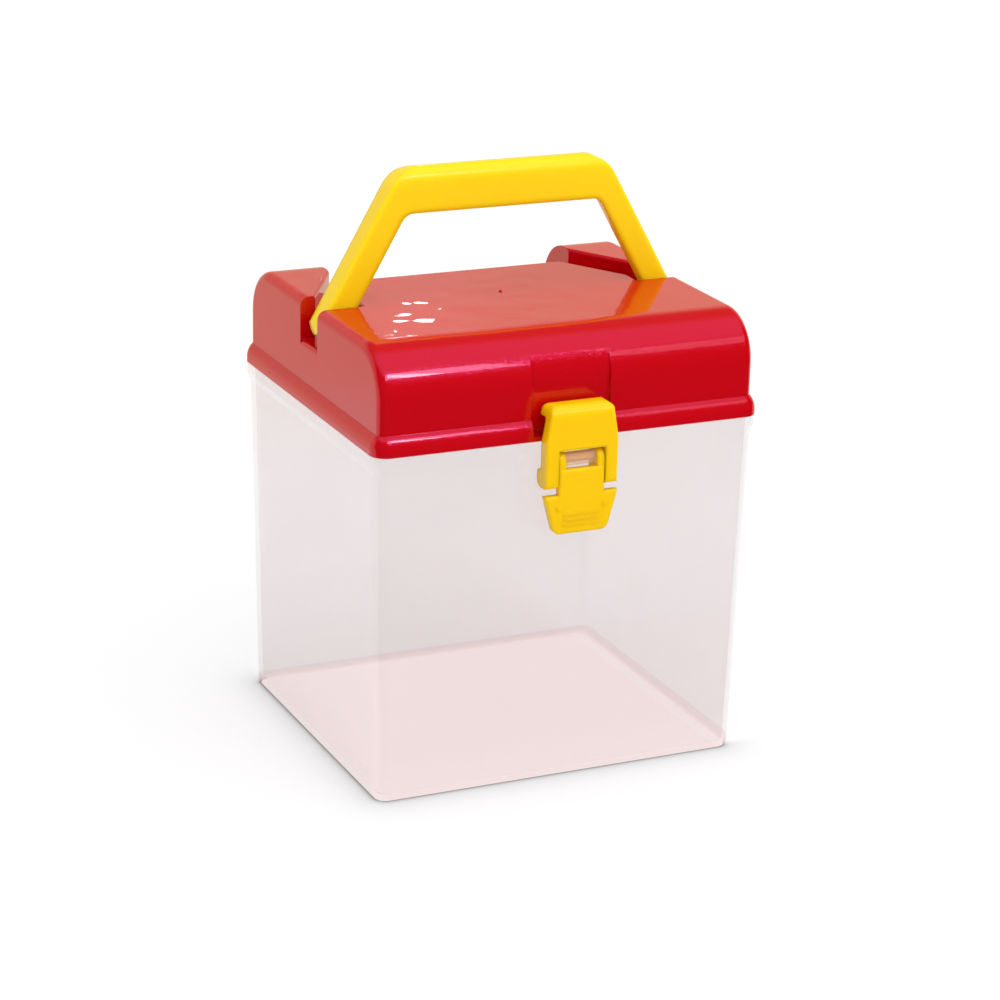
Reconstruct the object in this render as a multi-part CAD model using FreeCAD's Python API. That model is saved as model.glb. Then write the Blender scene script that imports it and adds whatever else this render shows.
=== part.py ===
import FreeCAD
import Part
import math
import os

# Art supply box: a clear drafted tub, a hinged lid, a folding carry handle and an over-centre latch.
# Millimetres. Z is up, the latch faces -Y, and the origin is the centre of the tub's flat bottom.

Vector = FreeCAD.Vector
TINY = 1e-4
FAR = 1000.0

# Tub
tub_width = 163.0          # outside, at the bottom
tub_depth = 144.0          # outside, at the bottom
tub_height = 148.2         # top of the collar, which carries the lid's flange
tub_draft = 2.4            # each wall leans out this far between the bottom and the collar
tub_corner = 6.0           # upright corners
tub_wall = 2.0
tub_floor = 2.4
tub_foot_round = 1.2
collar_reach = 1.5         # the collar stands out from the wall
collar_band = 4.0          # its upright upper part
collar_slope = 4.0         # its slanted lower part
lip_height = 3.3           # the wall goes on above the collar, inside the lid's flange
lip_wall = 1.3
lip_break_gap = 3.6        # the lip stops this far to each side of the latch recess

# Lid
lid_gap = 0.3              # between collar and flange
lid_height = 42.0          # flange's underside to flat top
lid_step = 2.6             # the lid's walls stand in from the flange's edge
lid_wall = 2.0
lid_end_round = 20.0       # front and rear top edges
lid_edge_round = 4.0       # side top edges and upright corners
flange_band = 2.0          # upright edge of the flange
flange_flare = 6.2         # above it, a round that leans in to the lid's walls
flange_wall = 1.6
flange_root = 1.0          # the flange reaches this far into the lid's walls
flange_pocket = 3.5        # depth of the flange's hollow over the tub's lip
ledge_round = 2.0          # top edge of the ledge behind the island and of the side notches
hump_rise = 1.0            # the rear corner humps stand above the flat top
hump_edge_round = 1.5      # upper edge of the humps' slanted walls
island_edge_round = 1.0

# Handle, standing up
handle_place = 0.6         # pivot line, behind the middle of the tub
handle_drop = 5.8          # pivot line, below the lid's flat top
handle_rise = 36.9         # underside of the grip, above the lid's flat top
handle_thick = 12.0        # front to back
grip_height = 18.4
grip_half = 43.9           # half length of the grip's underside, before rounding
leg_width = 12.6           # along the box's width
leg_inset = 14.8           # from the lid's side in to the leg, at the pivot line
foot_inset = 1.3           # the legs' feet are cut off this far inside the lid's side
grip_corner = 16.0         # outer corners
grip_inner_corner = 6.0
grip_round = 5.5           # along the top of the grip
handle_edge_round = 1.2
handle_back_round = 7.5    # inner edges at the back, where the fingers lie
handle_pin_radius = 3.0
handle_pin_bite = 4.5      # the pins start this far inside the legs
handle_pin_stub = 2.0      # the pins stand out inside the lid

# Channel in the lid for the folded handle
channel_floor_gap = 5.3    # under the folded handle
channel_front_gap = 0.6    # the legs stop against the front wall when the handle stands up
leg_foot_gap = 6.4         # from the standing legs back to the humps
hump_gap = 2.4             # from the folded legs out to the humps
hump_end_gap = 10.1        # from the folded grip's outer corners out to the humps' ends
island_gap = 3.0           # from the folded legs in to the island
cheek_gap = 5.5            # from the legs in to the island, at the pivot line
finger_gap = 8.5           # from the folded grip forward to the island

# Latch: a lever turns on the tub, and a clip turns on the lever and hooks over the lid's catch
latch_reach = 9.4          # front face of clip and lever, in front of the collar
bar_reach = 3.9            # the lever's axis, in front of the collar
bar_drop = 6.2             # the lever's axis, below the collar's top
bar_radius = 2.0
link_drop = 7.5            # the clip's axis, below the lever's
over_centre = 0.5          # the clip's axis, behind the lever's when closed
peg_radius = 2.0
peg_cover = 1.5            # the clip's wall over the pegs' ends
peg_end_gap = 0.3
barrel_radius = 3.6
barrel_slot = 3.4          # the lever's bar snaps in from below
barrel_web = 3.0           # half height of the barrel's root
barrel_side_gap = 0.4      # to the lever's arms

clip_half = 15.9
clip_top_half = 13.4
clip_shoulder = 1.8        # the clip's sides turn in at this height above the collar's top
clip_plate = 5.5
clip_lobe = 3.9
clip_heel = 2.9            # the clip's back, behind its axis
clip_edge_round = 1.2
clip_foot_round = 2.0
clip_shoulder_round = 6.0
clip_corner_round = 3.5
clip_brow_round = 4.5
clip_root_round = 1.2
window_gap = 0.5           # from the lever's sides to the clip's window
window_top_gap = 0.9       # from the lever's arms up to the clip's window
nose_height = 4.9
nose_overlap = 3.2         # the nose reaches this far over the catch
nose_gap = 0.3             # from the nose down to the catch
nose_round = 2.4
nose_tip_round = 0.8

catch_half = 12.0
catch_rise = 10.8          # the catch's upper face, above the flange's underside
catch_height = 2.8
catch_reach = 4.6          # in front of the lid's wall
catch_foot = 4.5           # its underside slants down this far to the panel
recess_gap = 1.5           # to each side of the clip
recess_depth = 1.2
recess_runout = 1.8        # lets the recess fade out in the front round

lever_half = 10.0
lever_plate = 3.2
lever_plate_drop = 3.7     # top of the plate, below the lever's axis
lever_arm = 3.0            # thickness of each arm beside the barrel
lever_arm_round = 3.5
lever_brow_round = 4.5
lever_bevel = 0.6
tab_gap = 3.0              # from the clip's feet down to the tab's shoulders
tab_height = 16.2
tab_top_half = 16.2
tab_bottom_half = 11.8
tab_round = 3.5
rib_count = 3
rib_pitch = 2.2
rib_margin = 3.8           # lowest rib, above the tab's lower edge
rib_half = 8.0
rib_radius = 0.45
dot_spacing = 20.4
dot_margin = 5.2           # below the tab's shoulders
dot_radius = 1.0
dot_height = 0.4

# Hinge
hinge_offset = 4.4         # axis behind the collar
hinge_rise = 0.15          # axis above the collar's top
hinge_inset = 37.0         # middle of each hinge, from the lid's side
knuckle_radius = 3.8
lid_knuckle = 14.0
tub_knuckle = 8.0
knuckle_gap = 0.4
knuckle_root = 1.0         # the knuckles' webs reach this far into collar and flange
web_clear = 0.45           # webs above and below the hinge line
gusset_drop = 6.0
pin_radius = 1.5

# Fits
running_fit = 0.1          # radial, where a piece turns on a pin
held_fit = 0.02            # radial, where a pin stays put

# Tub and lid sizes that follow from these
collar_x = tub_width / 2 + tub_draft + collar_reach
collar_y = tub_depth / 2 + tub_draft + collar_reach
collar_corner = tub_corner + collar_reach
wall_top = tub_height - collar_band - collar_slope
lid_base = tub_height + lid_gap
lid_top = lid_base + lid_height
lid_x = collar_x - lid_step
lid_y = collar_y - lid_step
flange_top = lid_base + flange_band
flange_round = (flange_flare ** 2 + lid_step ** 2) / (2 * lid_step)
hinge_place = lid_x - hinge_inset
hinge_y = collar_y + hinge_offset
hinge_z = tub_height + hinge_rise
hinge_length = lid_knuckle + 2 * (tub_knuckle + knuckle_gap)

# Handle sizes that follow
pivot_z = lid_top - handle_drop
handle_under = lid_top + handle_rise
handle_top = handle_under + grip_height
handle_front = handle_place - handle_thick / 2
handle_back = handle_place + handle_thick / 2
leg_inner = lid_x - leg_inset
handle_lean = (leg_inner - grip_half) / (handle_under - pivot_z)
lean_stretch = math.hypot(1, handle_lean)
grip_outer = grip_half + leg_width - handle_lean * grip_height

# Channel sizes that follow
channel_floor = pivot_z - handle_thick / 2 - channel_floor_gap
channel_front = handle_front - channel_front_gap
hump_front = handle_back + leg_foot_gap
hump_end = grip_outer + hump_end_gap
island_side = leg_inner - cheek_gap
handle_pin_end = island_side - lid_wall - handle_pin_stub
island_rear = handle_place + handle_under - pivot_z - finger_gap
wall_room = min(lid_top - lid_end_round, channel_floor - lid_wall)

# Latch sizes that follow
latch_front = -collar_y - latch_reach
bar_y = -collar_y - bar_reach
bar_z = tub_height - bar_drop
link_y = bar_y + over_centre
link_z = bar_z - link_drop
arm_inner = lever_half - lever_arm
barrel_half = arm_inner - barrel_side_gap
peg_end = clip_half - peg_cover
catch_top = lid_base + catch_rise
catch_front = -lid_y - catch_reach
clip_top = catch_top + nose_gap + nose_height
clip_foot = link_z - clip_lobe
clip_back = latch_front + clip_plate
window_half = lever_half + window_gap
window_top = bar_z + lever_arm_round + window_top_gap
tab_top = clip_foot - tab_gap
tab_bottom = tab_top - tab_height
recess_half = clip_half + recess_gap
lip_break_half = recess_half + lip_break_gap


def in_plan(a, b):
    return Vector(a, b, 0)


def in_front(a, b):
    return Vector(a, 0, b)


def in_side(a, b):
    return Vector(0, a, b)


NORMALS = {in_plan: Vector(0, 0, 1), in_front: Vector(0, 1, 0), in_side: Vector(1, 0, 0)}


def outline(corners, view):
    """Closed wire through (a, b, radius) corners, each rounded by a tangent arc."""
    spots = [Vector(a, b, 0) for a, b, radius in corners]
    joints = []
    for i, (a, b, radius) in enumerate(corners):
        here = spots[i]
        back = (spots[i - 1] - here).normalize()
        ahead = (spots[(i + 1) % len(spots)] - here).normalize()
        half = back.getAngle(ahead) / 2
        reach = radius / math.tan(half)
        middle = here + (back + ahead).normalize() * (radius / math.sin(half) - radius)
        joints.append((here + back * reach, middle, here + ahead * reach))
    edges = []
    for i, (start, middle, stop) in enumerate(joints):
        if start.distanceToPoint(stop) > TINY:
            ends = [view(p.x, p.y) for p in (start, middle, stop)]
            edges.append(Part.Arc(*ends).toShape())
        following = joints[(i + 1) % len(joints)][0]
        if stop.distanceToPoint(following) > TINY:
            edges.append(Part.makeLine(view(stop.x, stop.y), view(following.x, following.y)))
    return Part.Wire(edges)


def prism(corners, view, start, stop):
    """Solid with a rounded outline, between two planes square to its view."""
    solid = Part.Face(outline(corners, view)).extrude(NORMALS[view] * (stop - start))
    solid.translate(NORMALS[view] * start)
    return solid


def both_sides(half_corners):
    """Corners of a symmetric outline, from those of its +X half."""
    return half_corners + [(-a, b, radius) for a, b, radius in reversed(half_corners)]


def rectangle(half_a, half_b, radius):
    signs = ((-1, -1), (1, -1), (1, 1), (-1, 1))
    return [(a * half_a, b * half_b, radius) for a, b in signs]


def slab(half_x, half_y, radius, low, high):
    return prism(rectangle(half_x, half_y, radius), in_plan, low, high)


def box(x, y, z):
    """Box between pairs of coordinates."""
    return Part.makeBox(x[1] - x[0], y[1] - y[0], z[1] - z[0], Vector(x[0], y[0], z[0]))


def rod(radius, start, stop, y, z):
    """Cylinder along X."""
    return Part.makeCylinder(radius, stop - start, Vector(start, y, z), Vector(1, 0, 0))


def drafted(low, high):
    """Tapering solid between two (half_x, half_y, radius, level) rounded rectangles."""
    wires = []
    for half_x, half_y, radius, level in (low, high):
        wire = outline(rectangle(half_x, half_y, radius), in_plan)
        wire.translate(Vector(0, 0, level))
        wires.append(wire)
    return Part.makeLoft(wires, True, True)


def paired(shape):
    """The shape and its mirror image across the middle plane."""
    return shape.fuse(shape.mirror(Vector(), Vector(1, 0, 0)))


def level_edges(shape, level):
    """Edges that lie flat at one level."""
    spans = [(edge, edge.BoundBox) for edge in shape.Edges]
    return [edge for edge, span in spans if abs(span.ZMin - level) + abs(span.ZMax - level) < TINY]


def tidy(shape):
    return shape.removeSplitter()


def tub_level(level, outset):
    """Half sizes, corner radius and level of the drafted wall."""
    grow = tub_draft * level / wall_top + outset
    return (tub_width / 2 + grow, tub_depth / 2 + grow, tub_corner + outset, level)


def tub_hinge_knuckles():
    inner = lid_knuckle / 2 + knuckle_gap
    root = collar_y - knuckle_root
    web_top = hinge_z - web_clear
    web = [(root, web_top, 0), (root, web_top - gusset_drop, 0), (hinge_y, hinge_z - knuckle_radius, 0),
           (hinge_y, web_top, 0)]
    knuckles = []
    for start in (hinge_place - inner - tub_knuckle, hinge_place + inner):
        stop = start + tub_knuckle
        knuckle = rod(knuckle_radius, start, stop, hinge_y, hinge_z)
        knuckles.append(knuckle.fuse(prism(web, in_side, start, stop)))
    pair = paired(knuckles[0].fuse(knuckles[1]))
    bore = rod(pin_radius + held_fit, -FAR, FAR, hinge_y, hinge_z)
    return pair.cut(bore)


def tub_barrel():
    """Barrel on the front wall, open below so that the lever's bar snaps in."""
    barrel = rod(barrel_radius, -barrel_half, barrel_half, bar_y, bar_z)
    root = -tub_depth / 2 - tub_wall / 2
    web = box((-barrel_half, barrel_half), (bar_y, root), (bar_z - barrel_web, bar_z + barrel_web))
    bore = rod(bar_radius + running_fit, -FAR, FAR, bar_y, bar_z)
    slot_half = barrel_slot / 2
    slot = box((-FAR, FAR), (bar_y - slot_half, bar_y + slot_half), (bar_z - 2 * barrel_radius, bar_z))
    return barrel.fuse(web).cut(bore.fuse(slot))


def make_tub():
    body = drafted(tub_level(0, 0), tub_level(wall_top, 0))
    body = body.makeFillet(tub_foot_round, level_edges(body, 0))
    band_low = wall_top + collar_slope
    slope = drafted(tub_level(wall_top, 0), (collar_x, collar_y, collar_corner, band_low))
    band = slab(collar_x, collar_y, collar_corner, band_low, tub_height)
    lip_top = tub_height + lip_height
    lip_x, lip_y, lip_corner, level = tub_level(lip_top, lip_wall - tub_wall)
    lip = slab(lip_x, lip_y, lip_corner, tub_height, lip_top)
    lip_break = box((-lip_break_half, lip_break_half), (-FAR, 0), (tub_height, FAR))
    cavity = drafted(tub_level(tub_floor, -tub_wall), tub_level(lip_top, -tub_wall))
    shell = body.fuse([slope, band, lip.cut(lip_break)]).cut(cavity)
    return tidy(shell.fuse([tub_barrel(), tub_hinge_knuckles()]))


def end_profile(half_depth, top, radius, base):
    """Side view of the lid: upright ends and large rounds at front and rear."""
    return [(-half_depth, base, 0), (half_depth, base, 0), (half_depth, top, radius),
            (-half_depth, top, radius)]


def rounded_block(inset, top):
    """The lid's whole envelope with its soft edges, or the plain space inside its walls."""
    half = lid_x - inset
    profile = end_profile(lid_y - inset, top - inset, lid_end_round - inset, lid_base)
    block = prism(profile, in_side, -half, half)
    if inset:
        return block
    spans = [(edge, edge.BoundBox) for edge in block.Edges]
    rims = [edge for edge, span in spans if span.XLength < TINY and span.ZMax > lid_base + TINY]
    return block.makeFillet(lid_edge_round, rims)


def folded_inner(y):
    """Half width of the inner outline of the folded handle, at a depth y."""
    height = y - handle_place + pivot_z
    return grip_half + handle_lean * (handle_under - height)


def folded_outer(y):
    """Half width of the outer outline of the folded handle, at a depth y."""
    return folded_inner(y) + leg_width


def lid_front(inset):
    """Front of the lid, up to the wall that the standing legs stop against."""
    keep = box((-FAR, FAR), (-FAR, channel_front - inset), (0, FAR))
    return rounded_block(inset, lid_top).common(keep)


def lid_island(inset):
    """Middle of the lid, inside the folded handle."""
    gap = (island_gap + inset) * lean_stretch
    side = island_side - inset
    rear = island_rear - inset
    bend = (folded_inner(0) - gap - side) / handle_lean
    corners = both_sides([(side, channel_front - lid_end_round, 0), (side, bend, 0),
                          (folded_inner(rear) - gap, rear, 0)])
    island = prism(corners, in_plan, channel_floor - lid_edge_round, lid_top - inset)
    if inset:
        return island
    rims = [edge for edge in level_edges(island, lid_top) if edge.BoundBox.YMax > channel_front]
    return island.makeFillet(island_edge_round, rims)


def lid_humps(inset):
    """Rear corners, outside the folded handle."""
    gap = (hump_gap + inset) * lean_stretch
    front = hump_front + inset
    end = hump_end + inset
    bend = (folded_outer(0) + gap - end) / handle_lean
    corners = [(folded_outer(front) + gap, front, 0), (FAR, front, 0), (FAR, FAR, 0), (end, FAR, 0),
               (end, bend, 0)]
    plan = prism(corners, in_plan, channel_floor - lid_edge_round, FAR)
    hump = rounded_block(inset, lid_top + hump_rise).common(plan)
    if not inset:
        rims = [edge for edge in level_edges(hump, lid_top + hump_rise)
                if edge.BoundBox.XLength > TINY and edge.BoundBox.YLength > TINY]
        hump = hump.makeFillet(hump_edge_round, rims)
    return paired(hump)


def lid_deck():
    """Floor of the handle's channel, with soft edges where it comes out at the rear and at the sides."""
    levels = (lid_base, channel_floor)
    front = channel_front - lid_wall
    middle = box((-lid_x + lid_edge_round, lid_x - lid_edge_round), (front, lid_y - lid_end_round), levels)
    ends = hump_end + lid_wall
    rear = box((-ends, ends), (0, lid_y), levels)
    rear = rear.makeFillet(ledge_round, [edge for edge in level_edges(rear, channel_floor)
                                         if edge.BoundBox.YMin > lid_y - TINY])
    sides = box((-lid_x, lid_x), (front, hump_front + lid_wall), levels)
    sides = sides.makeFillet(ledge_round, [edge for edge in level_edges(sides, channel_floor)
                                           if edge.BoundBox.XLength < TINY])
    return [middle, rear, sides]


def lid_flange():
    """Foot of the lid: one profile, upright below and round above, swept along the walls."""
    lean = math.asin(flange_flare / flange_round) / 2
    edge = collar_y
    foot = Vector(0, edge, lid_base)
    shoulder = Vector(0, edge, flange_top)
    middle = Vector(0, edge - flange_round * (1 - math.cos(lean)), flange_top + flange_round * math.sin(lean))
    top = Vector(0, lid_y, flange_top + flange_flare)
    inner_top = Vector(0, lid_y - flange_root, top.z)
    inner_foot = Vector(0, lid_y - flange_root, lid_base)
    curve = Part.Arc(shoulder, middle, top).toShape()
    rest = Part.makePolygon([top, inner_top, inner_foot, foot, shoulder])
    profile = Part.Wire([curve] + rest.Edges)
    path = outline(rectangle(lid_x, lid_y, lid_edge_round), in_plan)
    path.translate(Vector(0, 0, lid_base))
    return path.makePipeShell([profile], True, True)


def lid_base_block():
    """Lower walls with the flange."""
    wall = slab(lid_x, lid_y, lid_edge_round, lid_base, wall_room)
    return wall.fuse(lid_flange())


def panel_block(inset):
    """Everything behind the latch recess's panel."""
    profile = end_profile(lid_y - recess_depth - inset, lid_top + recess_runout - inset,
                          lid_end_round - inset, lid_base - lid_wall)
    return prism(profile, in_side, -FAR, FAR)


def lid_cavity():
    under = lid_base - lid_wall
    low = slab(lid_x - lid_wall, lid_y - lid_wall, lid_edge_round - lid_wall, under, wall_room)
    pocket = slab(collar_x - flange_wall, collar_y - flange_wall, lid_edge_round + lid_step - flange_wall,
                  under, lid_base + flange_pocket)
    cavity = low.fuse([pocket, lid_front(lid_wall), lid_island(lid_wall), lid_humps(lid_wall)])
    backing_half = recess_half + lid_wall
    backing = box((-backing_half, backing_half), (-FAR, -lid_y + lid_end_round), (0, FAR))
    return cavity.cut(backing.cut(panel_block(lid_wall)))


def lid_catch():
    """Ledge that the clip's nose pulls down on."""
    root = -lid_y + recess_depth + lid_wall / 2
    low = catch_top - catch_height
    profile = [(root, catch_top, 0), (catch_front, catch_top, 0), (catch_front, low, 0),
               (root, low - catch_foot, 0)]
    return prism(profile, in_side, -catch_half, catch_half)


def lid_hinge_knuckles():
    root = collar_y - knuckle_root
    web_low = hinge_z + web_clear
    web = [(root, web_low, 0), (hinge_y, web_low, 0), (hinge_y, hinge_z + knuckle_radius, 0),
           (root, hinge_z + knuckle_radius, 0)]
    start = hinge_place - lid_knuckle / 2
    stop = start + lid_knuckle
    knuckle = rod(knuckle_radius, start, stop, hinge_y, hinge_z).fuse(prism(web, in_side, start, stop))
    bore = rod(pin_radius + running_fit, -FAR, FAR, hinge_y, hinge_z)
    return paired(knuckle).cut(bore)


def make_lid():
    outer = lid_base_block().fuse(lid_deck() + [lid_front(0), lid_island(0), lid_humps(0)])
    recess = box((-recess_half, recess_half), (-FAR, -lid_y + lid_end_round), (flange_top, FAR))
    recess = recess.cut(panel_block(0))
    pin_hole = rod(handle_pin_radius + running_fit, -leg_inner, leg_inner, handle_place, pivot_z)
    shell = outer.cut([recess, lid_cavity(), pin_hole])
    return tidy(shell.fuse([lid_catch(), lid_hinge_knuckles()]))


def handle_frame():
    """Two spread legs and a grip, with soft outer edges."""
    foot = pivot_z - handle_thick
    spread = handle_lean * (handle_top - foot)
    outer = both_sides([(grip_outer + spread, foot, 0), (grip_outer, handle_top, grip_corner)])
    frame = prism(outer, in_front, handle_front, handle_back)
    spans = [(edge, edge.BoundBox) for edge in frame.Edges]
    rims = [edge for edge, span in spans if span.YLength < TINY and span.ZMax > foot + TINY]
    frame = frame.makeFillet(handle_edge_round, rims)
    inner_spread = handle_lean * (handle_under - foot)
    inner = both_sides([(grip_half + inner_spread, foot, 0), (grip_half, handle_under, grip_inner_corner)])
    frame = frame.cut(prism(inner, in_front, handle_front - handle_thick, handle_back + handle_thick))
    spans = [(edge, edge.BoundBox) for edge in frame.Edges]
    back_rims = [edge for edge, span in spans
                 if span.YMin > handle_back - TINY and foot + TINY < span.ZMax < handle_under + TINY]
    return frame.makeFillet(handle_back_round, back_rims)


def make_handle():
    half = handle_thick / 2
    side = [(handle_front, pivot_z - half, half), (handle_back, pivot_z - half, half),
            (handle_back, handle_top, grip_round), (handle_front, handle_top, grip_round)]
    foot_limit = lid_x - foot_inset
    bail = handle_frame().common(prism(side, in_side, -foot_limit, foot_limit))
    pin = rod(handle_pin_radius, handle_pin_end, leg_inner + handle_pin_bite, handle_place, pivot_z)
    return tidy(bail.fuse(paired(pin)))


def make_latch_clip():
    """Arch that hooks over the lid's catch and turns on the lever's pegs."""
    arch_foot = clip_foot - clip_lobe
    shoulder = tub_height + clip_shoulder
    outer = both_sides([(clip_half, arch_foot, 0), (clip_half, shoulder, clip_shoulder_round),
                        (clip_top_half, clip_top, clip_corner_round)])
    arch = prism(outer, in_front, latch_front, 0)
    face_rims = [edge for edge in arch.Edges
                 if edge.BoundBox.YMax < latch_front + TINY and edge.BoundBox.ZMax > arch_foot + TINY]
    arch = arch.makeFillet(clip_edge_round, face_rims)
    arch = arch.cut(box((-window_half, window_half), (-FAR, FAR), (0, window_top)))
    nose_low = catch_top + nose_gap
    nose_back = catch_front + nose_overlap
    heel = link_y + clip_heel
    hook = [(latch_front, clip_foot, clip_foot_round), (latch_front, clip_top, clip_brow_round),
            (nose_back, clip_top, nose_round), (nose_back, nose_low, nose_tip_round),
            (clip_back, nose_low, clip_root_round), (clip_back, link_z + clip_lobe, 0),
            (heel, link_z + clip_lobe, clip_heel), (heel, clip_foot, clip_heel)]
    clip = arch.common(prism(hook, in_side, -FAR, FAR))
    socket = rod(peg_radius + running_fit, arm_inner, peg_end + peg_end_gap, link_y, link_z)
    return tidy(clip.cut(paired(socket)))


def tab_marks():
    """Grip ribs and two dots on the lever's tab."""
    levels = [tab_bottom + rib_margin + rib_pitch * i for i in range(rib_count)]
    marks = [rod(rib_radius, -rib_half, rib_half, latch_front, level) for level in levels]
    for side in (-1, 1):
        start = Vector(side * dot_spacing / 2, latch_front - dot_height, tab_top - dot_margin)
        marks.append(Part.makeCylinder(dot_radius, dot_height + lever_bevel, start, Vector(0, 1, 0)))
    return marks


def make_latch_lever():
    """Tab and neck, two arms with the bar between them, and two pegs that carry the clip."""
    front = both_sides([(tab_bottom_half, tab_bottom, tab_round), (tab_top_half, tab_top, 0),
                        (lever_half, tab_top, 0), (lever_half, bar_z - lever_plate_drop, 0)])
    plate = prism(front, in_front, latch_front, latch_front + lever_plate)
    face_rims = [edge for edge in plate.Edges if edge.BoundBox.YMax < latch_front + TINY]
    plate = plate.makeChamfer(lever_bevel, face_rims)
    arm_front = latch_front + lever_bevel
    arm_top = bar_z + lever_arm_round
    arm_back = bar_y + lever_arm_round
    arm_low = link_z - lever_arm_round
    side = [(arm_front, arm_low, 0), (arm_front, arm_top, lever_brow_round),
            (arm_back, arm_top, lever_arm_round), (arm_back, arm_low, lever_arm_round)]
    arm = prism(side, in_side, arm_inner, lever_half)
    peg = rod(peg_radius, arm_inner, peg_end, link_y, link_z)
    bar = rod(bar_radius, -arm_inner, arm_inner, bar_y, bar_z)
    return tidy(plate.fuse([paired(arm), paired(peg), bar] + tab_marks()))


def make_hinge_pin(side):
    middle = side * hinge_place
    return rod(pin_radius, middle - hinge_length / 2, middle + hinge_length / 2, hinge_y, hinge_z)


def main():
    os.makedirs("parts", exist_ok=True)
    parts = {
        "tub": make_tub(),
        "lid": make_lid(),
        "handle": make_handle(),
        "latch_lever": make_latch_lever(),
        "latch_clip": make_latch_clip(),
        "hinge_pin_left": make_hinge_pin(-1),
        "hinge_pin_right": make_hinge_pin(1),
    }
    for name, shape in parts.items():
        solids = len(shape.Solids)
        print(f"{name}: {solids} solid, valid {shape.isValid()}, {shape.Volume / 1000:.2f} cm3")
        shape.exportStep(f"parts/{name}.step")


main()
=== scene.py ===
import math

import bpy
import numpy as np
from bpy.props import FloatProperty, FloatVectorProperty, PointerProperty
from mathutils import Matrix, Vector


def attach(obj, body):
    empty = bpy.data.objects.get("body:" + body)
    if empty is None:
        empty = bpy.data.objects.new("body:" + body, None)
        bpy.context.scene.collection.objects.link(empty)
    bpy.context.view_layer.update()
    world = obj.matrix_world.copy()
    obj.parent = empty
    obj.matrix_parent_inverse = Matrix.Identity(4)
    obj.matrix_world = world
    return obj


bl_info = {
    "name": "Art Supply Box",
    "version": (1, 0, 0),
    "blender": (4, 5, 0),
    "location": "3D View > Sidebar > Art Box",
    "description": "Finishes the pieces of an art supply box and builds its stage",
    "category": "Object",
}

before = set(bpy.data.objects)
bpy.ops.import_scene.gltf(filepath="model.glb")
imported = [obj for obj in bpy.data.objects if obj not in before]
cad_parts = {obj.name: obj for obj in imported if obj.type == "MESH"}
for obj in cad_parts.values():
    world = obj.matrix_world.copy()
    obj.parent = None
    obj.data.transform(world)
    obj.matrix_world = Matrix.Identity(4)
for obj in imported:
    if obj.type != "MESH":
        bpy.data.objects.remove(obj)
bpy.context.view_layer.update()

MM = 0.001
WHITE = (1.0, 1.0, 1.0, 1.0)
BLACK = (0.0, 0.0, 0.0, 1.0)

# Places on the solids, in metres.
LID_TOP = 0.1905                # flat top of the lid
FOOT = (0.0803, 0.0708)         # half sizes of the tub's foot on the floor
FOOT_CORNER = 0.0048            # radius of the foot's corners
TUB_SIDE = (0.0805, 0.0710)     # half sizes between the inner and outer faces of the tub's walls near the base
TUB_CORNER = 0.0050             # radius of the corners there
BASE_TOP = (2.41 * MM, 2.46 * MM)    # just over the upper face of the tub's base
BARREL_FROM = -0.0763           # only the latch's barrel is in front of this plane

# What the photograph shows.
GATE_Y = -0.0029                # the lid's gate mark
PHOTO_WIDTH = 1000.0            # pixels across the frame
SENSOR_WIDTH = 36.0             # millimetres

# The stage, in metres.
FLOOR_HALF = 6.0
WARM_FROM = (0.30, 0.50)        # distances from the foot between which the floor turns warm in reflections
DARK_TO = (-0.11, -0.07)        # depths between which the dark front of the floor ends in reflections
NEAR_PAINTED_SHADE = (0.75, 1.0 * MM)   # strength and reach of the painted shade at the foot
WIDE_PAINTED_SHADE = (0.28, 7.5 * MM)
LEE_FROM = 0.93                 # share of the foot's half size at which the painted shade begins on the left and in front
KEY_DIRECTION = (0.12, -0.35, 0.93)
KEY_SPREAD = math.radians(76)
BOX_FRONT = (0.0, -0.08, 0.16)
TOP_GLINT = (-0.04, 0.0, 0.19)
# Soft lights by name: width and height, place, what they face, and tint.
SOFT_LIGHTS = {
    "window": ((0.56, 0.25), (0.18, -0.94, 0.90), BOX_FRONT, (0.80, 0.66, 1.0)),
    "lamp": ((0.03, 0.20), (0.330, -0.84, 0.84), BOX_FRONT, (1.0, 0.86, 1.0)),
    "fill": ((0.50, 0.25), (0.72, -0.80, 0.88), BOX_FRONT, (1.0, 0.86, 0.9)),
    "glint": ((0.03, 0.09), (0.445, 1.13, 0.625), TOP_GLINT, (1.0, 1.0, 1.0)),
}


def linear(code):
    """Linear RGB from an sRGB hex value: each channel goes through the inverse of the sRGB curve."""
    shown = [int(code[i:i + 2], 16) / 255 for i in (0, 2, 4)]
    return tuple(c / 12.92 if c <= 0.04045 else ((c + 0.055) / 1.055) ** 2.4 for c in shown)


def rgba(values):
    return (*values, 1.0)


def colour(name, code, description):
    return FloatVectorProperty(name=name, description=description, subtype="COLOR", size=3,
                               min=0.0, max=1.0, default=linear(code))


def length(name, size, description):
    return FloatProperty(name=name, description=description, unit="LENGTH", min=0.0, default=size)


def angle(name, degrees, description):
    return FloatProperty(name=name, description=description, subtype="ANGLE", default=math.radians(degrees))


def power(name, watts, description):
    return FloatProperty(name=name, description=description, unit="POWER", default=watts)


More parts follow.
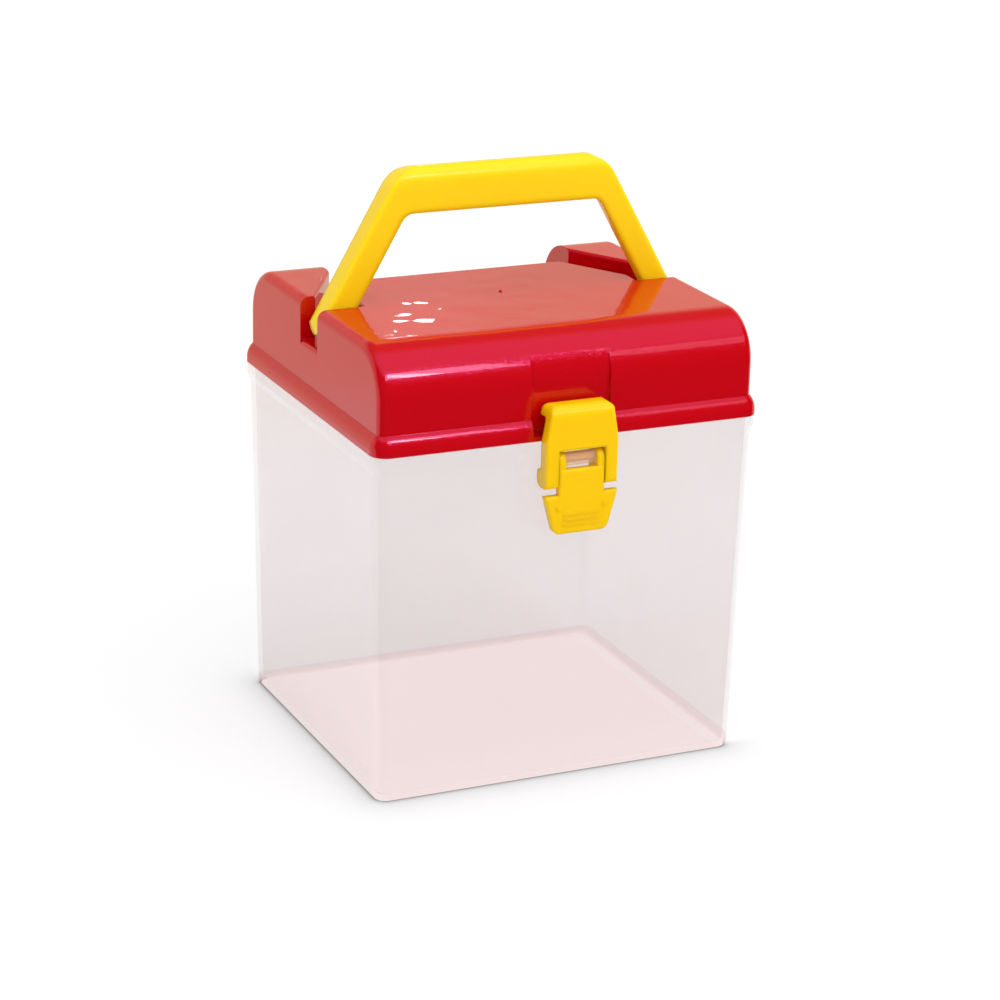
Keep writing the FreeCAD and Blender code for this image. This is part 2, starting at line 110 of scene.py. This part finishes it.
class ArtBoxFinish(bpy.types.PropertyGroup):
    """Colours and surface sizes of the box."""
    lid_red: colour("Lid red", "C20104", "Pigment of the lid")
    lid_pearl: colour("Lid pearl", "FF70AC", "What the pearl flakes in the lid send back")
    handle_yellow: colour("Handle yellow", "FFDA10", "Pigment of the handle")
    latch_yellow: colour("Latch yellow", "F3C800", "Pigment of the latch")
    tub_clear: colour("Tub clear", "FCFAFA", "Tint of what shows through the tub's wall")
    # The pink in this tint is painted red light from the lid.
    base_clear_painted_red: colour("Base clear", "FFF6F5", "Tint of what shows through the tub's base")
    # This tint is painted shade and painted red light on the base's side.
    base_edge_painted_shade_and_red: colour("Base edge", "F8EBEB", "Tint of what shows through the side of the tub's base")
    # The peach in this tint is painted yellow light from the latch.
    barrel_clear_painted_yellow: colour("Barrel clear", "FFF3E6", "Tint of what shows through the barrel in the latch")
    tub_milk: colour("Tub milk", "F8F6F5", "Haze in the tub's wall")
    wire_steel: colour("Wire steel", "B9BABD", "Drawn wire of the hinge pins")
    edge_soft: length("Edge softness", 0.5 * MM, "Radius that the lid's edges seem to have")
    grip_soft: length("Grip softness", 4.0 * MM, "Radius that the handle's edges seem to have")
    latch_soft: length("Latch softness", 2.0 * MM, "Radius that the latch's edges seem to have")
    mark_radius: length("Gate mark radius", 0.8 * MM, "Where the plastic entered the lid's mould")
    mark_height: length("Gate mark height", 0.7 * MM, "Broken stub of plastic above the lid's top")


class ArtBoxStage(bpy.types.PropertyGroup):
    """Floor, light and camera."""
    floor_colour: colour("Floor", "F5F5F5", "Pale floor")
    focal_pixels: FloatProperty(name="Focal length", description="In pixels of the photograph", default=3073.6)
    azimuth: angle("Azimuth", -24.872, "Camera's direction round the box")
    elevation: angle("Elevation", 18.823, "Camera's direction above the horizon")
    roll: angle("Roll", 1.375, "Camera's turn about its own axis")
    place: FloatVectorProperty(name="Camera place", description="Where the camera stands", unit="LENGTH", size=3,
                               default=(-0.5195, -1.1282, 0.5212))
    sun: FloatProperty(name="Key light", description="Broad light from above the front", default=1.5)
    window_power: power("Window", 2.2, "Cool light in front")
    lamp_power: power("Lamp", 0.28, "Narrow light in front, a little to the right")
    fill_power: power("Fill", 0.4, "Faint light to the right of the front")
    glint_power: power("Glint", 0.09, "Small lamp far behind")
    room_tint: colour("Room in reflections", "EEDCC2", "Floor and walls where gloss shows them")
    ceiling_tint: colour("Ceiling in reflections", "D6CEFF", "Cool light over the front where gloss shows it")
    sky: FloatProperty(name="Room light", description="Even light from all round", default=0.75)


def node(tree, kind, inputs=None, **settings):
    """Adds a node with its settings. Each input takes a value, or a link from another node's output."""
    made = tree.nodes.new("ShaderNode" + kind)
    for name, value in settings.items():
        setattr(made, name, value)
    for socket, source in (inputs or {}).items():
        if isinstance(source, bpy.types.NodeSocket):
            tree.links.new(source, made.inputs[socket])
        else:
            made.inputs[socket].default_value = source
    return made


def maths(tree, operation, *terms):
    """Arithmetic on numbers and outputs."""
    return node(tree, "Math", dict(enumerate(terms)), operation=operation).outputs["Value"]


def vectors(tree, operation, *terms):
    """Arithmetic on vectors."""
    made = node(tree, "VectorMath", dict(enumerate(terms)), operation=operation)
    return made.outputs["Value" if operation == "LENGTH" else "Vector"]


def remap(tree, value, low, high, source=(0.0, 1.0)):
    """Low where the value is at the start of the source range, high at its end, in proportion between them."""
    return node(tree, "MapRange", {"Value": value, "From Min": source[0], "From Max": source[1], "To Min": low,
                                   "To Max": high}).outputs["Result"]


def blend(tree, share, first, second, kind="FLOAT"):
    """Two numbers, or two colours if kind is RGBA, mixed by the second one's share."""
    return node(tree, "Mix", {"Factor": share, "A": first, "B": second}, data_type=kind).outputs["Result"]


def shader(tree, kind, inputs):
    """One shader's output."""
    return node(tree, kind, inputs).outputs["BSDF"]


def layer(tree, share, under, over):
    """Two shaders mixed by the second one's share."""
    return node(tree, "MixShader", {"Fac": share, 1: under, 2: over}).outputs["Shader"]


def noise(tree, place, size, detail, roughness=0.5):
    """Cloudy noise with grains of a size in metres."""
    return node(tree, "TexNoise", {"Vector": place, "Scale": 1 / size, "Detail": detail,
                                   "Roughness": roughness}).outputs["Fac"]


def object_place(tree):
    return node(tree, "TexCoord").outputs["Object"]


def axes(tree, vector):
    """A vector's X, Y and Z outputs."""
    return node(tree, "SeparateXYZ", {"Vector": vector}).outputs


def outline_gap(tree, place, half, corner):
    """Distance outside a rounded rectangle round Z: the length of max(|p| - (half - corner), 0), less the corner.
    The third size is larger than any height, so heights don't count."""
    core = (half[0] - corner, half[1] - corner, 1.0)
    past = vectors(tree, "SUBTRACT", vectors(tree, "ABSOLUTE", place), core)
    outer = vectors(tree, "MAXIMUM", past, (0.0, 0.0, 0.0))
    return maths(tree, "SUBTRACT", vectors(tree, "LENGTH", outer), corner)


def blank(name):
    """A new material and its empty node tree."""
    material = bpy.data.materials.new(name)
    material.use_nodes = True
    tree = material.node_tree
    tree.nodes.clear()
    return material, tree


def show(tree, surface):
    """Sends a shader to the material's output."""
    node(tree, "OutputMaterial", {"Surface": surface})


def wear(names, material):
    """Puts a material on CAD nodes."""
    for name in names:
        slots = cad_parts[name].data.materials
        slots.clear()
        slots.append(material)


def pearl_polypropylene(finish):
    """Injection-moulded polypropylene with pearl flakes, from a polished mould: a deep red that a thin clear skin
    covers with sharp reflections, and a soft pink bloom where the flakes face the light."""
    material, tree = blank("pearl_red_polypropylene")
    place = object_place(tree)
    soft = node(tree, "Bevel", {"Radius": finish.edge_soft}, samples=6).outputs["Normal"]
    # Shrinkage leaves waves about 14 mm long and at most 0.45 mm deep in the flat top. They are a quarter as deep
    # on the right, and there are hardly any below the top.
    waves = noise(tree, place, 14 * MM, 1.0, 0.4)
    spot = axes(tree, place)
    depth = remap(tree, spot["Z"], 0.02, 1.0, (LID_TOP - 3 * MM, LID_TOP))
    calm = remap(tree, spot["X"], 1.0, 0.25, (0.0, 40 * MM))
    skin = node(tree, "Bump", {"Distance": 0.45 * MM, "Strength": maths(tree, "MULTIPLY", depth, calm),
                               "Height": waves, "Normal": soft}).outputs["Normal"]
    # Flakes are under 0.1 mm. They are drawn 0.5 mm wide so that they show, and each leans a little.
    flakes = node(tree, "TexVoronoi", {"Vector": place, "Scale": 1 / (0.5 * MM)}).outputs["Color"]
    most_lean = 0.12
    tilt = vectors(tree, "SUBTRACT", flakes, (0.5, 0.5, 0.5))
    lean = vectors(tree, "MULTIPLY", tilt, (most_lean,) * 3)
    flake_normal = vectors(tree, "NORMALIZE", vectors(tree, "ADD", soft, lean))
    coat = {"Coat Weight": 1.0, "Coat Roughness": 0.03, "Coat IOR": 1.45, "Coat Normal": skin}
    body = shader(tree, "BsdfPrincipled", {"Base Color": rgba(finish.lid_red), "Roughness": 0.5,
                                           "Specular IOR Level": 0.0, "Normal": soft, **coat})
    pearl = shader(tree, "BsdfPrincipled", {"Base Color": rgba(finish.lid_pearl), "Metallic": 1.0,
                                            "Roughness": 0.22, "Normal": flake_normal, **coat})
    pearl_share = 0.09
    show(tree, layer(tree, pearl_share, body, pearl))
    return material


def yellow_polypropylene(name, pigment, edge):
    """Injection-moulded polypropylene in solid yellow: light goes a few millimetres in, so shaded sides stay warm,
    and the skin is smooth with a faint orange-peel."""
    material, tree = blank(name)
    place = object_place(tree)
    soft = node(tree, "Bevel", {"Radius": edge}, samples=8).outputs["Normal"]
    # Orange-peel about 2.5 mm across, and pigment streaks about 25 mm long.
    peel = noise(tree, place, 2.5 * MM, 2.0)
    skin = node(tree, "Bump", {"Strength": 0.08, "Distance": 0.05 * MM, "Height": peel,
                               "Normal": soft}).outputs["Normal"]
    streaks = noise(tree, place, 25 * MM, 3.0)
    deeper = [channel * share for channel, share in zip(pigment, (0.98, 0.95, 0.90))]
    tone = blend(tree, streaks, rgba(pigment), rgba(deeper), "RGBA")
    rough = remap(tree, peel, 0.14, 0.24)
    show(tree, shader(tree, "BsdfPrincipled", {
        "Base Color": tone, "Roughness": rough, "IOR": 1.49, "Normal": skin, "Subsurface Weight": 0.5,
        "Subsurface Scale": 4.0 * MM, "Subsurface Radius": (1.0, 0.8, 0.12)}))
    return material


def natural_polypropylene(finish):
    """Injection-moulded polypropylene without pigment: clear enough to see the floor through two walls, with a
    faint milky haze and a gloss that grows where the eye looks along the wall."""
    material, tree = blank("natural_polypropylene")
    place = object_place(tree)
    spot = axes(tree, place)
    surface = node(tree, "NewGeometry").outputs
    facet = axes(tree, surface["Normal"])
    # The level faces of the base, which is 2.4 mm thick, are polished clear. Their pink tint is painted red light,
    # standing in for the red that the lid throws down.
    under_top = remap(tree, spot["Z"], 1.0, 0.0, BASE_TOP)
    base = maths(tree, "MULTIPLY", under_top, maths(tree, "ABSOLUTE", facet["Z"]))
    # The base's side, whose darker pink tint is painted shade and painted red light. Because the eye looks down
    # into it, it shows to about 3.4 mm up the front and the back, and 1.4 mm higher on the left and the right.
    sideways = maths(tree, "MULTIPLY", facet["X"], facet["X"])
    seen_height = maths(tree, "MULTIPLY_ADD", sideways, -1.4 * MM, spot["Z"])
    low = remap(tree, seen_height, 1.0, 0.0, (3.25 * MM, 3.5 * MM))
    outside = maths(tree, "GREATER_THAN", outline_gap(tree, place, TUB_SIDE, TUB_CORNER), 0.0)
    base_side = maths(tree, "MULTIPLY", low, outside)
    # The barrel in front of the collar. Its peach tint is painted yellow light, standing in for the yellow that
    # the latch around it throws on it.
    barrel = maths(tree, "LESS_THAN", spot["Y"], BARREL_FROM)

    tint = blend(tree, base_side, rgba(finish.tub_clear), rgba(finish.base_edge_painted_shade_and_red), "RGBA")
    tint = blend(tree, barrel, tint, rgba(finish.barrel_clear_painted_yellow), "RGBA")
    tint = blend(tree, base, tint, rgba(finish.base_clear_painted_red), "RGBA")
    clear = shader(tree, "BsdfTransparent", {"Color": tint})

    # The wall's haze is 11 % straight on and 3 % along the wall. Flow clouds about 40 mm across vary it.
    facing = node(tree, "LayerWeight", {"Blend": 0.35}).outputs["Facing"]
    drift = remap(tree, noise(tree, place, 40 * MM, 2.0), -0.03, 0.03)
    haze = maths(tree, "ADD", remap(tree, facing, 0.11, 0.03), drift)
    barrel_haze, base_haze = 0.25, 0.03
    haze = blend(tree, barrel, haze, barrel_haze)
    haze = blend(tree, base, haze, base_haze)
    milk = shader(tree, "BsdfPrincipled", {"Base Color": rgba(finish.tub_milk), "Roughness": 0.22, "IOR": 1.49})
    through = shader(tree, "BsdfTranslucent", {"Color": rgba(finish.tub_milk)})
    through_share = 0.40
    wall = layer(tree, haze, clear, layer(tree, through_share, milk, through))

    # Gloss of the outer skin by Schlick's rule: 4 % straight on and more along the wall.
    slant = node(tree, "LayerWeight", {"Blend": 0.5}).outputs["Facing"]
    shine = remap(tree, maths(tree, "POWER", slant, 5.0), 0.04, 1.0)
    dull = maths(tree, "MAXIMUM", base, surface["Backfacing"])
    gloss = shader(tree, "BsdfGlossy", {"Color": WHITE, "Roughness": 0.10})
    show(tree, layer(tree, remap(tree, dull, shine, 0.0), wall, gloss))
    return material


def drawn_steel(finish):
    """Drawn steel wire: bright metal with fine lines along its length."""
    material, tree = blank("drawn_steel_wire")
    # Drawing lines about 0.15 mm apart, stretched along X.
    along = node(tree, "Mapping", {"Vector": object_place(tree), "Scale": (0.02, 1.0, 1.0)}).outputs["Vector"]
    rough = remap(tree, noise(tree, along, 0.15 * MM, 1.0), 0.22, 0.42)
    show(tree, shader(tree, "BsdfPrincipled", {"Base Color": rgba(finish.wire_steel), "Metallic": 1.0,
                                               "Roughness": rough}))
    return material


def placed(name, data):
    """A new object in the scene."""
    piece = bpy.data.objects.new(name, data)
    bpy.context.scene.collection.objects.link(piece)
    return piece


def revolved(name, profile, centre, steps):
    """Surface of revolution about Z: point (i, j) is the centre plus radius_i at angle 2 pi j / steps, lifted by
    height_i. The profile's first radius is zero, so the inner ring closes to one point."""
    radius, height = np.asarray(profile, float).T
    turn = np.arange(steps) * (2 * math.pi / steps)
    x = centre[0] + np.outer(radius[1:], np.cos(turn))
    y = centre[1] + np.outer(radius[1:], np.sin(turn))
    z = np.broadcast_to(centre[2] + height[1:, None], x.shape)
    pole = np.array([[centre[0], centre[1], centre[2] + height[0]]])
    points = np.vstack([pole, np.stack([x, y, z], -1).reshape(-1, 3)])
    here = np.arange(steps)
    after = np.roll(here, -1)
    fan = np.stack([np.zeros(steps, int), 1 + here, 1 + after], 1)
    start = 1 + steps * np.arange(len(radius) - 2)[:, None]
    quads = np.stack([start + here, start + steps + here, start + steps + after, start + after], -1)
    mesh = bpy.data.meshes.new(name)
    mesh.from_pydata(points.tolist(), [], fan.tolist() + quads.reshape(-1, 4).tolist())
    mesh.shade_smooth()
    return placed(name, mesh)


class ARTBOX_OT_tub(bpy.types.Operator):
    """Gives the tub its clear moulded finish"""
    bl_idname = "artbox.tub"
    bl_label = "Finish Tub"

    def execute(self, context):
        wear(["tub"], natural_polypropylene(context.scene.artbox_finish))
        return {"FINISHED"}


class ARTBOX_OT_lid(bpy.types.Operator):
    """Gives the lid its pearl finish and its gate mark"""
    bl_idname = "artbox.lid"
    bl_label = "Finish Lid"

    def execute(self, context):
        finish = context.scene.artbox_finish
        material = pearl_polypropylene(finish)
        wear(["lid"], material)
        # A blunt stub, flat at its broken end, with a foot that goes into the top by a tenth of its height:
        # z = height (1.1 (1 - s^4) - 0.1) at the share s of its radius.
        rings, steps = 13, 32
        shares = np.linspace(0.0, 1.0, rings)
        heights = finish.mark_height * (1.1 * (1 - shares ** 4) - 0.1)
        profile = np.stack([finish.mark_radius * shares, heights], 1)
        mark = revolved("lid_gate_mark", profile, (0.0, GATE_Y, LID_TOP), steps)
        mark.data.materials.append(material)
        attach(mark, "lid")
        return {"FINISHED"}


class ARTBOX_OT_handle(bpy.types.Operator):
    """Gives the handle its yellow finish"""
    bl_idname = "artbox.handle"
    bl_label = "Finish Handle"

    def execute(self, context):
        finish = context.scene.artbox_finish
        wear(["handle"],
             yellow_polypropylene("handle_yellow_polypropylene", finish.handle_yellow, finish.grip_soft))
        return {"FINISHED"}


class ARTBOX_OT_latch(bpy.types.Operator):
    """Gives the latch's clip and lever their yellow finish"""
    bl_idname = "artbox.latch"
    bl_label = "Finish Latch"

    def execute(self, context):
        finish = context.scene.artbox_finish
        wear(["latch_clip", "latch_lever"],
             yellow_polypropylene("latch_yellow_polypropylene", finish.latch_yellow, finish.latch_soft))
        return {"FINISHED"}


class ARTBOX_OT_hinge_pins(bpy.types.Operator):
    """Gives the hinge pins their drawn steel"""
    bl_idname = "artbox.hinge_pins"
    bl_label = "Finish Hinge Pins"

    def execute(self, context):
        wear(["hinge_pin_left", "hinge_pin_right"], drawn_steel(context.scene.artbox_finish))
        return {"FINISHED"}


def key_light(strength):
    """A broad light as bright everywhere on the floor, which gloss doesn't show."""
    lamp = bpy.data.lights.new("key_light", "SUN")
    lamp.energy = strength
    lamp.angle = KEY_SPREAD
    holder = placed("key_light", lamp)
    holder.visible_glossy = False
    holder.rotation_euler = Vector(KEY_DIRECTION).to_track_quat("Z", "Y").to_euler()


def soft_light(name, watts, size, place, target, tint):
    """A rectangular soft light that faces a point."""
    lamp = bpy.data.lights.new(name, "AREA")
    lamp.energy = watts
    lamp.color = tint
    lamp.shape = "RECTANGLE"
    lamp.size, lamp.size_y = size
    holder = placed(name, lamp)
    holder.visible_camera = False
    holder.location = place
    holder.rotation_euler = (Vector(target) - Vector(place)).to_track_quat("-Z", "Y").to_euler()


def painted_foot_shade(tree, place, gap):
    """How dark the painted shade on the floor is close to the foot, on the two sides away from the light: the sum
    of strength times exp(-gap / reach) for both shades on the left and in front, and nothing under the foot."""
    near, wide = [maths(tree, "POWER", math.e, maths(tree, "MULTIPLY", gap, -1 / shade[1]))
                  for shade in (NEAR_PAINTED_SHADE, WIDE_PAINTED_SHADE)]
    both = maths(tree, "MULTIPLY_ADD", wide, WIDE_PAINTED_SHADE[0], maths(tree, "MULTIPLY", near, NEAR_PAINTED_SHADE[0]))
    left = maths(tree, "MULTIPLY", place["X"], -1 / FOOT[0])
    front = maths(tree, "MULTIPLY", place["Y"], -1 / FOOT[1])
    lee = remap(tree, maths(tree, "MAXIMUM", left, front), 0.0, 1.0, (LEE_FROM, 1.0))
    outside = remap(tree, gap, 0.0, 1.0, (0.0, 0.4 * MM))
    return maths(tree, "MULTIPLY", maths(tree, "MULTIPLY", both, lee), outside)


def pale_floor(setup):
    """Matt white board: even to the eye, with painted light beneath the tub and a painted soft shade at the foot
    of the box. In reflections it is warm far from the box and dark in front of it, as in a room that is lit from
    behind and above."""
    material, tree = blank("pale_floor")
    spot = object_place(tree)
    place = axes(tree, spot)
    gap = outline_gap(tree, spot, FOOT, FOOT_CORNER)
    path = node(tree, "LightPath").outputs
    far = remap(tree, gap, 0.0, 1.0, WARM_FROM)
    warmth = maths(tree, "MULTIPLY", far, path["Is Glossy Ray"])
    tone = blend(tree, warmth, rgba(setup.floor_colour), rgba(setup.room_tint), "RGBA")
    matt = shader(tree, "BsdfDiffuse", {"Color": tone})
    glow = node(tree, "Emission", {"Color": WHITE, "Strength": path["Is Camera Ray"]}).outputs["Emission"]
    # The even white's share is larger beneath the clear tub, where it is painted light, and small in bounced
    # light.
    painted_light_beneath_share, open_share, bounce_share = 0.96, 0.7, 0.15
    seen_share = remap(tree, gap, painted_light_beneath_share, open_share, (0.0, 0.5 * MM))
    lit = layer(tree, remap(tree, path["Is Camera Ray"], bounce_share, seen_share), matt, glow)
    black = shader(tree, "BsdfDiffuse", {"Color": BLACK})
    # Painted shadow at the foot of the box, over the floor's white.
    shaded = layer(tree, painted_foot_shade(tree, place, gap), lit, black)
    ahead = remap(tree, place["Y"], 1.0, 0.0, DARK_TO)
    dark = maths(tree, "MULTIPLY", ahead, path["Is Glossy Ray"])
    show(tree, layer(tree, dark, shaded, black))
    material.cycles.emission_sampling = "NONE"
    return material


def white_room(setup):
    """A world that is white where it is seen and gives even light of a plain level. Gloss shows a warm wall behind
    that darkens upwards, and over the front a ceiling that is cool and bright only high up."""
    world = bpy.data.worlds.new("white_room")
    world.use_nodes = True
    tree = world.node_tree
    tree.nodes.clear()
    path = node(tree, "LightPath").outputs
    way = axes(tree, node(tree, "TexCoord").outputs["Generated"])
    to_back = (0.10, 0.35)
    wall = remap(tree, way["Z"], 0.93, 0.25, (0.40, 0.62))
    ceiling = remap(tree, way["Z"], 0.015, 0.66, (0.62, 0.75))
    mirrored = remap(tree, way["Y"], ceiling, wall, to_back)
    even = remap(tree, path["Is Camera Ray"], setup.sky, 1.0)
    strength = blend(tree, path["Is Glossy Ray"], even, mirrored)
    behind = remap(tree, way["Y"], 0.0, 1.0, to_back)
    tint = blend(tree, behind, rgba(setup.ceiling_tint), rgba(setup.room_tint), "RGBA")
    tone = blend(tree, path["Is Glossy Ray"], WHITE, tint, "RGBA")
    back = node(tree, "Background", {"Color": tone, "Strength": strength}).outputs["Background"]
    node(tree, "OutputWorld", {"Surface": back})
    world.cycles.sampling_method = "NONE"
    return world


def photo_camera(setup):
    """The photograph's viewpoint, from a fit to the box's corners."""
    lens = bpy.data.cameras.new("photo_camera")
    lens.sensor_width = SENSOR_WIDTH
    lens.lens = setup.focal_pixels / PHOTO_WIDTH * SENSOR_WIDTH
    lens.clip_start, lens.clip_end = 0.01, 100.0
    a, e = setup.azimuth, setup.elevation
    back = Vector((math.sin(a) * math.cos(e), -math.cos(a) * math.cos(e), math.sin(e)))
    level = (-back).cross(Vector((0, 0, 1))).normalized()
    right = Matrix.Rotation(setup.roll, 3, back) @ level
    up = back.cross(right)
    pose = Matrix((right, up, back)).transposed().to_4x4()
    pose.translation = setup.place
    holder = placed("photo_camera", lens)
    holder.matrix_world = pose
    return holder


class ARTBOX_OT_stage(bpy.types.Operator):
    """Makes the floor, the lights and the camera"""
    bl_idname = "artbox.stage"
    bl_label = "Build Stage"

    def execute(self, context):
        scene = context.scene
        setup = scene.artbox_stage
        self.floor(setup)
        scene.world = white_room(setup)
        key_light(setup.sun)
        for name, (size, place, target, tint) in SOFT_LIGHTS.items():
            soft_light(name + "_light", getattr(setup, name + "_power"), size, place, target, tint)
        scene.camera = photo_camera(setup)
        scene.view_settings.view_transform = "Standard"
        return {"FINISHED"}

    def floor(self, setup):
        """Flat square."""
        corners = FLOOR_HALF * np.array([[-1, -1, 0], [1, -1, 0], [1, 1, 0], [-1, 1, 0]], float)
        mesh = bpy.data.meshes.new("floor")
        mesh.from_pydata(corners.tolist(), [], [[0, 1, 2, 3]])
        mesh.materials.append(pale_floor(setup))
        piece = placed("floor", mesh)


STEPS = ("tub", "lid", "handle", "latch", "hinge_pins", "stage")


class ARTBOX_PT_panel(bpy.types.Panel):
    """Lists the steps that finish the box"""
    bl_label = "Art Supply Box"
    bl_idname = "ARTBOX_PT_panel"
    bl_space_type = "VIEW_3D"
    bl_region_type = "UI"
    bl_category = "Art Box"

    def draw(self, context):
        for step in STEPS:
            self.layout.operator("artbox." + step)
        for group in (context.scene.artbox_finish, context.scene.artbox_stage):
            column = self.layout.column()
            for name in group.bl_rna.properties.keys():
                if name not in ("rna_type", "name"):
                    column.prop(group, name)


CLASSES = (ArtBoxFinish, ArtBoxStage, ARTBOX_OT_tub, ARTBOX_OT_lid, ARTBOX_OT_handle, ARTBOX_OT_latch,
           ARTBOX_OT_hinge_pins, ARTBOX_OT_stage, ARTBOX_PT_panel)


def register():
    for cls in CLASSES:
        bpy.utils.register_class(cls)
    bpy.types.Scene.artbox_finish = PointerProperty(type=ArtBoxFinish)
    bpy.types.Scene.artbox_stage = PointerProperty(type=ArtBoxStage)


def unregister():
    del bpy.types.Scene.artbox_stage
    del bpy.types.Scene.artbox_finish
    for cls in reversed(CLASSES):
        bpy.utils.unregister_class(cls)


def main():
    register()
    for step in STEPS:
        getattr(bpy.ops.artbox, step)()


if __name__ == "__main__":
    main()
